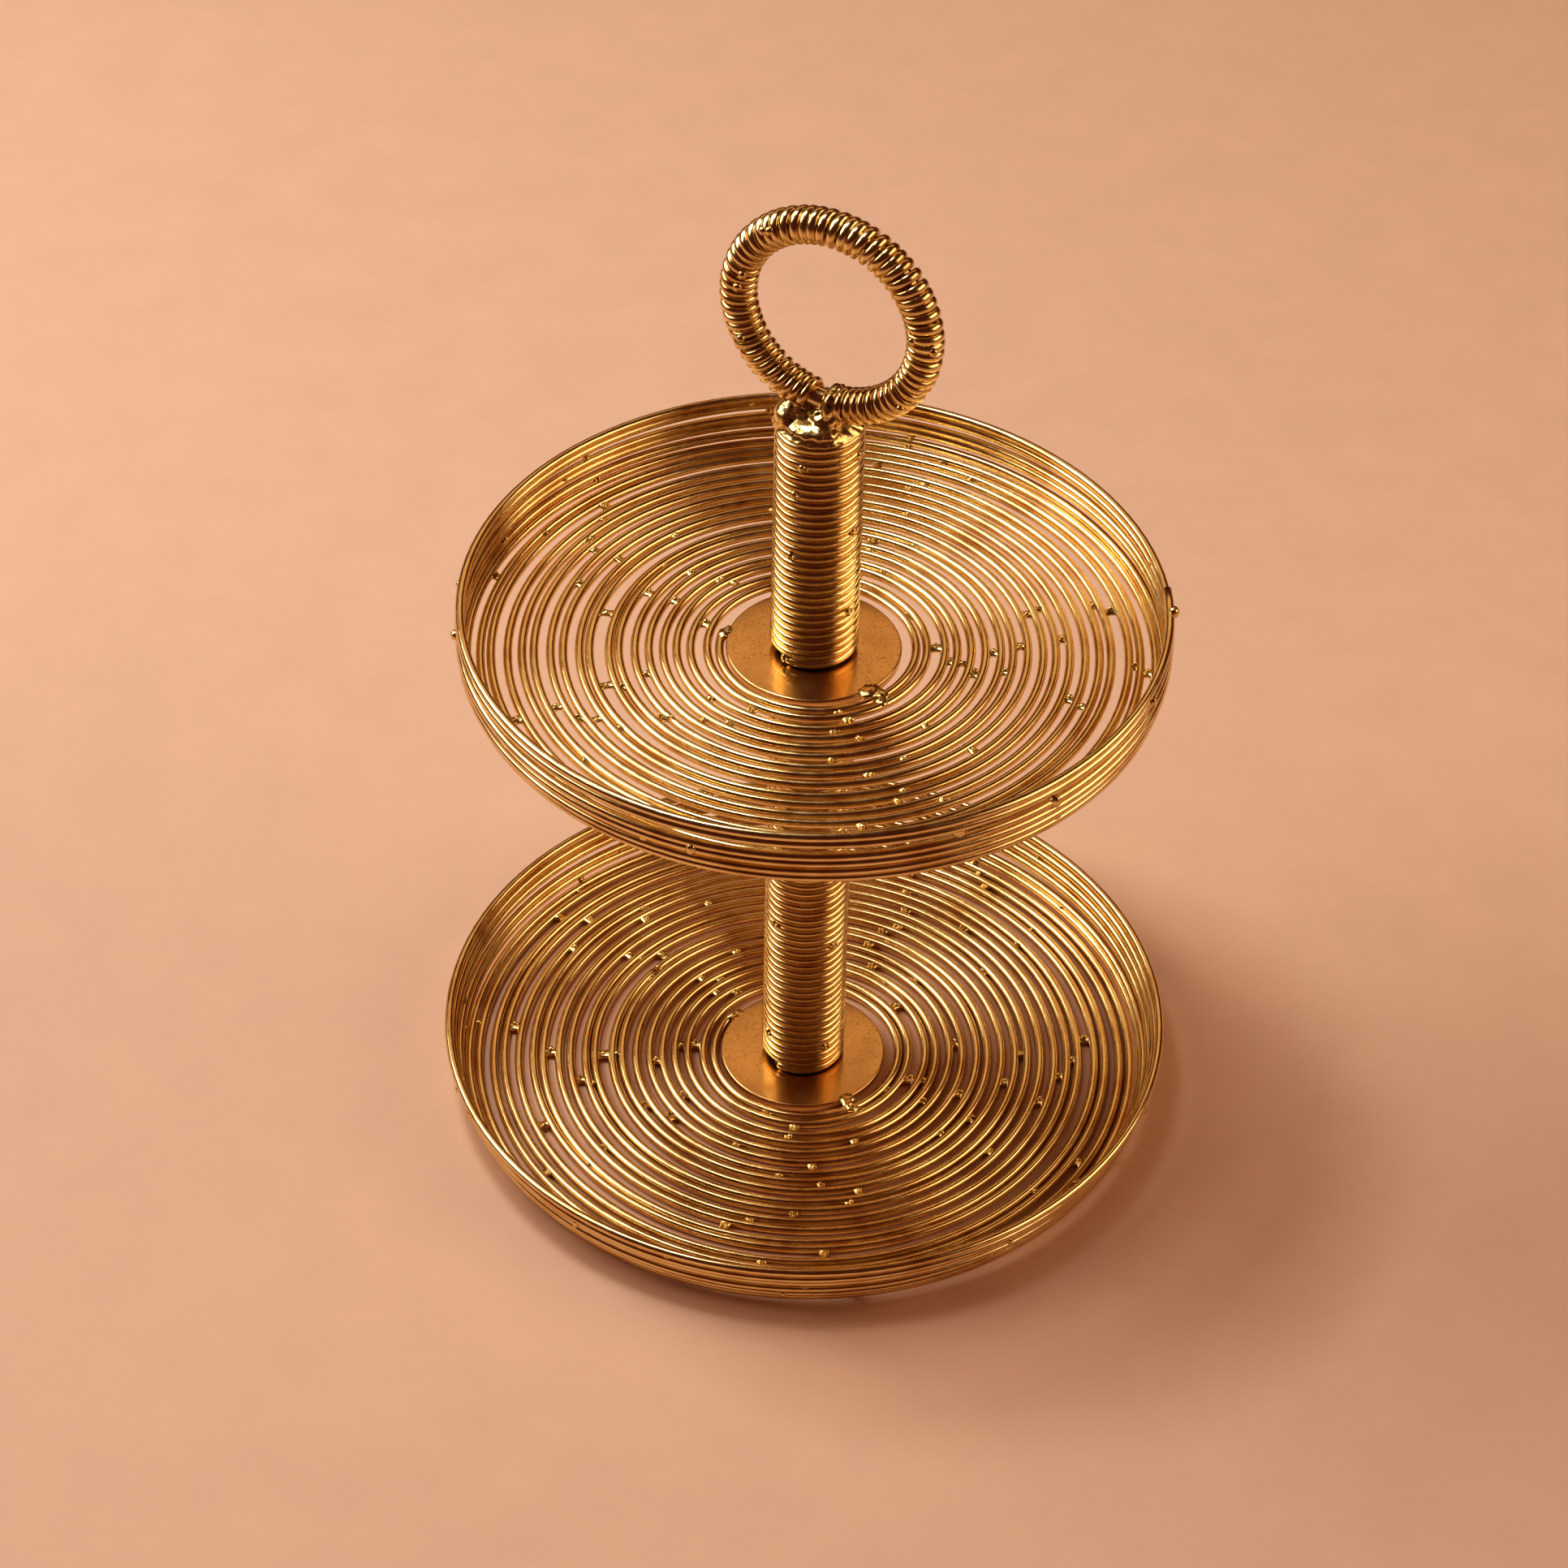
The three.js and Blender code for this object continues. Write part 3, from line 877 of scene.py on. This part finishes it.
def ring_winding_path(sizes, steps_per_turn=26):
    """Centre line of the wire round the ring: a helix whose own axis is the ring's centre line. At
    each step it stands off that line by the winding's radius, turned once round for each turn."""
    turn = np.linspace(0, RING_TURNS, RING_TURNS * steps_per_turn)
    share = turn / RING_TURNS + RING_SPACING_WAVE * np.sin(TURN * 0.23 * turn)
    angle = -math.pi / 2 + RING_GAP / 2 + share * (TURN - RING_GAP)
    centre, away = ring_point(angle)
    across = np.cross(*ring_middle()[1:])
    lean = TURN * turn + RING_FIRST_LEAN
    outward = np.cos(lean)[:, None] * away + np.sin(lean)[:, None] * across
    radius, _, outer = ring_sizes()
    winding = outer - radius - sizes.ring_wire_radius
    return centre + winding * outward, outward


# Tacks on the ring: angle round the ring and angle round its winding, both in degrees. Each bead
# sits a little inside the winding's outer surface.
RING_TACK_DEPTH = 0.3 * MM
RING_TACK_RADII_MM = (1.5, 1.3, 1.6)
RING_TACKS = [(128, 62), (124, 70), (8, 108), (207, 95), (2, 40), (172, 110), (162, 115), (-40, 60)]


def ring_tacks():
    """Small beads on the outside of the ring's winding."""
    angle, lean = np.radians(np.array(RING_TACKS, float)).T
    centre, away = ring_point(angle)
    across = np.cross(*ring_middle()[1:])
    outward = np.cos(lean)[:, None] * away + np.sin(lean)[:, None] * across
    radius, _, outer = ring_sizes()
    place = centre + outward * (outer - radius - RING_TACK_DEPTH)
    return closed_skin(bead_rings(place, np.tile(RING_TACK_RADII_MM, (len(angle), 1)) * MM))


class STAND_OT_carrying_ring(bpy.types.Operator):
    """Winds thinner wire round the carrying ring's bar, flattened a little where turns spread"""

    bl_idname = "stand.carrying_ring"
    bl_label = "Carrying ring"

    def execute(self, context):
        sizes = context.scene.stand_sizes
        brass = material_named(lacquered_brass_wire, context)
        path, outward, radius = with_round_ends(*ring_winding_path(sizes), sizes.ring_wire_radius)
        reach = np.linalg.norm(path - ring_middle()[0], axis=1)
        pitch = reach * (TURN - RING_GAP) / RING_TURNS
        squeeze = np.maximum(pitch / (RING_WIRE_GAP * 2 * sizes.ring_wire_radius), 1)
        skin = closed_skin(tube_rings(path, outward, radius, RING_WIRE_SIDES, squeeze)[None])
        piece("ring_winding_wire", skin, brass, "handle", ["handle_ring_winding"])
        bar_path, away = ring_point(np.arange(RING_BAR_STEPS) * TURN / RING_BAR_STEPS)
        bar = looped_skin(ring_bar_rings(bar_path, away))
        piece("ring_bar", bar, brass, "handle", ["handle_ring_core"])
        piece("ring_tacks", ring_tacks(), material_named(melted_braze, context), "handle")
        return {"FINISHED"}


def ring_bar_rings(path, away, sides=16):
    """Rings round the ring's bar: the bar's radius in the plane of each point's outward direction
    and the direction square to the ring."""
    across = np.cross(*ring_middle()[1:])
    angle = np.arange(sides) * TURN / sides
    wheel = np.cos(angle)[:, None] * away[:, None] + np.sin(angle)[:, None] * across
    return path[:, None] + ring_sizes()[1] * wheel


# The lump that holds the ring on the post: bulges along the ring's plane, across it towards the
# back, and above the post's top, with their radii, all in mm.
HANDLE_BULGES = [
    ((0, 0, -0.8), (13.9, 13.9, 2.2)),
    ((-8.0, -4.6, 2.2), (4.8, 5.6, 4.6)),
    ((0.6, -6.0, 1.0), (9.0, 6.6, 3.0)),
    ((3.4, -1.0, 3.6), (6.0, 7.4, 4.8)),
    ((4.8, 0, 7.6), (3.6, 6.6, 6.0)),
    ((-6.2, 0.4, 6.4), (4.0, 6.4, 5.4)),
    ((0, 5.5, 2.0), (8.5, 6.5, 4.0)),
]
HANDLE_CENTRE_MM = (0.5, -1.0, 2.6)
HANDLE_GRAIN = 3.6 * MM
HANDLE_WRINKLE = 0.35 * MM


def handle_lump():
    """The braze between post and ring, in the ring's own directions."""
    _, along, up = ring_middle()
    across = np.cross(up, along)
    top = UP * high("upper_post_coil")[2]
    axes = np.stack([along, across, up])
    bulges = [(np.array(place) * MM, np.array(radii) * MM) for place, radii in HANDLE_BULGES]
    centre = np.array(HANDLE_CENTRE_MM) * MM
    points, faces = lump_skin(centre, bulges, HANDLE_GRAIN, HANDLE_WRINKLE, seed=5, steps=(140, 90))
    return points @ axes + top, faces


class STAND_OT_handle_braze(bpy.types.Operator):
    """Brazes the carrying ring on to the post"""

    bl_idname = "stand.handle_braze"
    bl_label = "Handle braze"

    def execute(self, context):
        braze = material_named(melted_braze, context)
        piece("handle_lump", handle_lump(), braze, "handle", ["handle_braze"])
        return {"FINISHED"}


class STAND_OT_hidden_fittings(bpy.types.Operator):
    """Gives the tubes, bushes and tie rod inside the posts their turned steel"""

    bl_idname = "stand.hidden_fittings"
    bl_label = "Hidden fittings"

    def execute(self, context):
        steel = material_named(turned_steel, context)
        fittings = ["tie_rod", "lower_post_tube", "lower_post_bottom_bush", "lower_post_top_bush"]
        fittings += ["upper_post_tube", "upper_post_insert", "upper_post_top_cap"]
        for name in fittings:
            for material_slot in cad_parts[name].material_slots:
                material_slot.material = steel
        return {"FINISHED"}


# ---- studio ------------------------------------------------------------------------------------

CAMERA_PLACE = (0, -1.1306, 1.1027)
CAMERA_DOWN = math.radians(40.91)
CAMERA_YAW = math.radians(-0.43)
CAMERA_ROLL = math.radians(-1.31)
CAMERA_LENS_MM = 105.1
CAMERA_SENSOR_MM = 36
CAMERA_REACH = 50  # metres
FLOOR_HALF = 3.0
FLOOR_CELLS = 8
STAND_MIDDLE = CAD_BOX[1][2] / 2
ROOM_COLOUR = "#FF9B7A"
# Each light: bearing and elevation in degrees, distance, width and height in metres, and colour.
LIGHTS = {
    "key": (150, 71, 1.7, 0.35, 0.35, "#EAF3F9"),
    "window": (163, 38, 1.7, 1.4, 1.0, "#FFFAF4"),
    "side": (-5, 28, 1.7, 1.6, 1.0, "#FFE6C8"),
    "back": (90, 41, 1.9, 1.8, 0.6, "#FFD9AA"),
}


def add_camera(scene):
    """The camera: level along +Y, turned by its yaw, tipped down, then rolled about its view."""
    data = bpy.data.cameras.new("camera")
    data.lens = CAMERA_LENS_MM
    data.sensor_width = CAMERA_SENSOR_MM
    data.clip_end = CAMERA_REACH
    camera = bpy.data.objects.new("camera", data)
    scene.collection.objects.link(camera)
    yaw = Matrix.Rotation(-CAMERA_YAW, 4, "Z")
    tip = Matrix.Rotation(math.pi / 2 - CAMERA_DOWN, 4, "X")
    roll = Matrix.Rotation(-CAMERA_ROLL, 4, "Z")
    camera.matrix_world = Matrix.Translation(CAMERA_PLACE) @ yaw @ tip @ roll
    scene.camera = camera


def add_soft_light(scene, name, power):
    """A rectangular light at a bearing and elevation from the stand's middle, facing it."""
    bearing, elevation, distance, width, height, colour = LIGHTS[name]
    data = bpy.data.lights.new(name, "AREA")
    data.shape = "RECTANGLE"
    data.size = width
    data.size_y = height
    data.energy = power
    data.color = linear(colour)
    light = bpy.data.objects.new(name, data)
    scene.collection.objects.link(light)
    rise = math.radians(elevation)
    round_stand = math.radians(bearing)
    flat = distance * math.cos(rise)
    lift = distance * math.sin(rise) + STAND_MIDDLE
    place = Vector((flat * math.cos(round_stand), flat * math.sin(round_stand), lift))
    aim = Vector((0, 0, STAND_MIDDLE)) - place
    facing = aim.to_track_quat("-Z", "Y").to_matrix().to_4x4()
    light.matrix_world = Matrix.Translation(place) @ facing


def paper_floor_mesh():
    """A level square of paper as a grid of even cells."""
    steps = np.linspace(-FLOOR_HALF, FLOOR_HALF, FLOOR_CELLS + 1)
    x, y = np.meshgrid(steps, steps, indexing="ij")
    points = np.stack([x, y, np.zeros_like(x)], -1).reshape(-1, 3)
    row, column = np.meshgrid(np.arange(FLOOR_CELLS), np.arange(FLOOR_CELLS), indexing="ij")
    beyond = FLOOR_CELLS + 1
    corner = (row * beyond + column).ravel()
    faces = np.stack([corner, corner + beyond, corner + beyond + 1, corner + 1], 1)
    mesh = bpy.data.meshes.new("paper_floor")
    mesh.from_pydata(points, [], faces.tolist())
    return mesh


class STAND_OT_stage(bpy.types.Operator):
    """Sets out the plain paper floor, the studio lights and the camera"""

    bl_idname = "stand.stage"
    bl_label = "Stage"

    def execute(self, context):
        scene = context.scene
        studio = scene.stand_studio
        mesh = paper_floor_mesh()
        mesh.materials.append(material_named(matt_paper, context))
        floor = bpy.data.objects.new("paper_floor", mesh)
        scene.collection.objects.link(floor)
        add_camera(scene)
        for name in LIGHTS:
            add_soft_light(scene, name, getattr(studio, name))
        world = bpy.data.worlds.new("room")
        world.use_nodes = True
        background = world.node_tree.nodes["Background"]
        background.inputs["Color"].default_value = (*linear(ROOM_COLOUR), 1)
        background.inputs["Strength"].default_value = studio.room
        scene.world = world
        scene.view_settings.view_transform = "Standard"
        scene.view_settings.look = "High Contrast"
        return {"FINISHED"}


# ---- add-on ------------------------------------------------------------------------------------

OPERATORS = (
    STAND_OT_stage,
    STAND_OT_dish_wires,
    STAND_OT_dish_tacks,
    STAND_OT_hub_plates,
    STAND_OT_hub_braze,
    STAND_OT_post_wraps,
    STAND_OT_carrying_ring,
    STAND_OT_handle_braze,
    STAND_OT_hidden_fittings,
)


class STAND_PT_panel(bpy.types.Panel):
    """Lists the stand's sizes, colours and building steps"""

    bl_idname = "STAND_PT_panel"
    bl_label = "Cake Stand"
    bl_space_type = "VIEW_3D"
    bl_region_type = "UI"
    bl_category = "Cake Stand"

    def draw(self, context):
        layout = self.layout
        scene = context.scene
        for settings in (scene.stand_sizes, scene.stand_colours, scene.stand_studio):
            for name in settings.__annotations__:
                layout.prop(settings, name)
        for operator in OPERATORS:
            layout.operator(operator.bl_idname)


CLASSES = (StandSizes, StandColours, StudioSettings, *OPERATORS, STAND_PT_panel)


def register():
    """Registers every class and hangs the settings on the scene."""
    for each in CLASSES:
        bpy.utils.register_class(each)
    bpy.types.Scene.stand_sizes = PointerProperty(type=StandSizes)
    bpy.types.Scene.stand_colours = PointerProperty(type=StandColours)
    bpy.types.Scene.stand_studio = PointerProperty(type=StudioSettings)


def unregister():
    """Takes the settings and the classes away again."""
    del bpy.types.Scene.stand_studio
    del bpy.types.Scene.stand_colours
    del bpy.types.Scene.stand_sizes
    for each in reversed(CLASSES):
        bpy.utils.unregister_class(each)


def main():
    register()
    for operator in OPERATORS:
        group, name = operator.bl_idname.split(".")
        getattr(getattr(bpy.ops, group), name)()
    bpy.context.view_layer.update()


if __name__ == "__main__":
    main()
